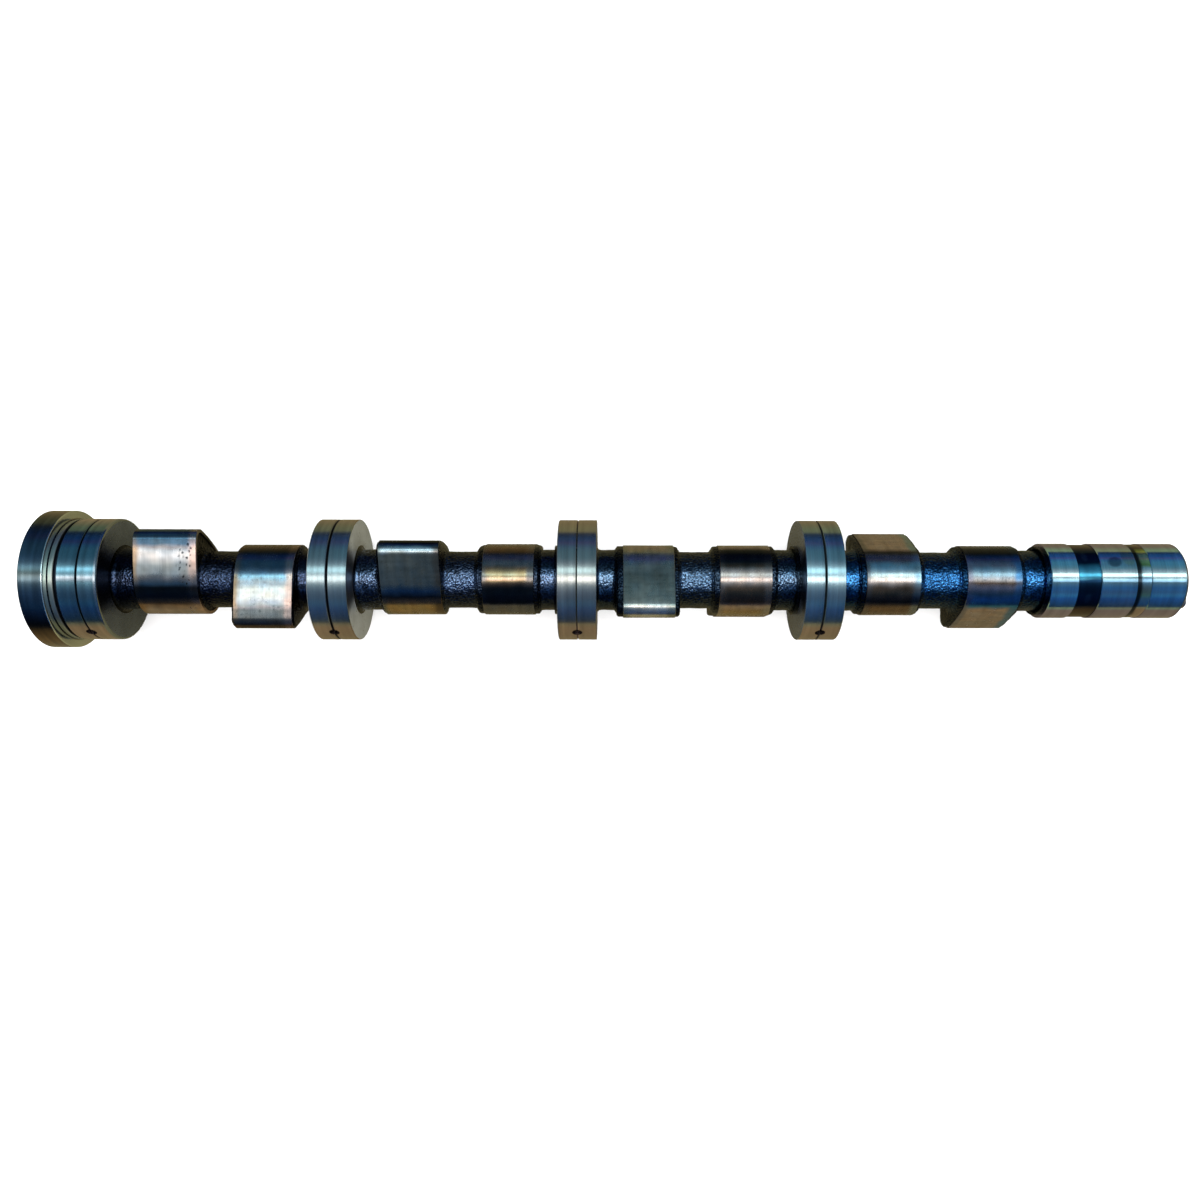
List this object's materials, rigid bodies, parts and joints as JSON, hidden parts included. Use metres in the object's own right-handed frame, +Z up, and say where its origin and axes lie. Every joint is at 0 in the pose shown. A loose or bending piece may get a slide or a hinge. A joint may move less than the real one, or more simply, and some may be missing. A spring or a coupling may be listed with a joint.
{
  "type": "camshaft",
  "caption": "Cast overhead camshaft with ground bearing journals, paired cams between them, a thrust flange at one end and a pulley seat at the other.",
  "frame": {"origin": "centre of the front journal, the bearing next to the pulley, on the axis of rotation", "axes": "+X along the axis of rotation towards the pulley end, +Z up, +Y completes the right-handed frame; the shaft lies level, as it does in the engine"},
  "size_m": [0.4511, 0.055, 0.055],
  "materials": {
    "ground_cast_iron": "ground bearings and cams with blue and brown oxide tints, dark as-cast core",
    "pressed_in_steel": "plain steel of the cup plug and the dowel, lightly oiled"
  },
  "bodies": {
    "root": {"camshaft": "ground_cast_iron", "gallery_plug": "pressed_in_steel", "pulley_dowel": "pressed_in_steel"}
  },
  "joints": []
}
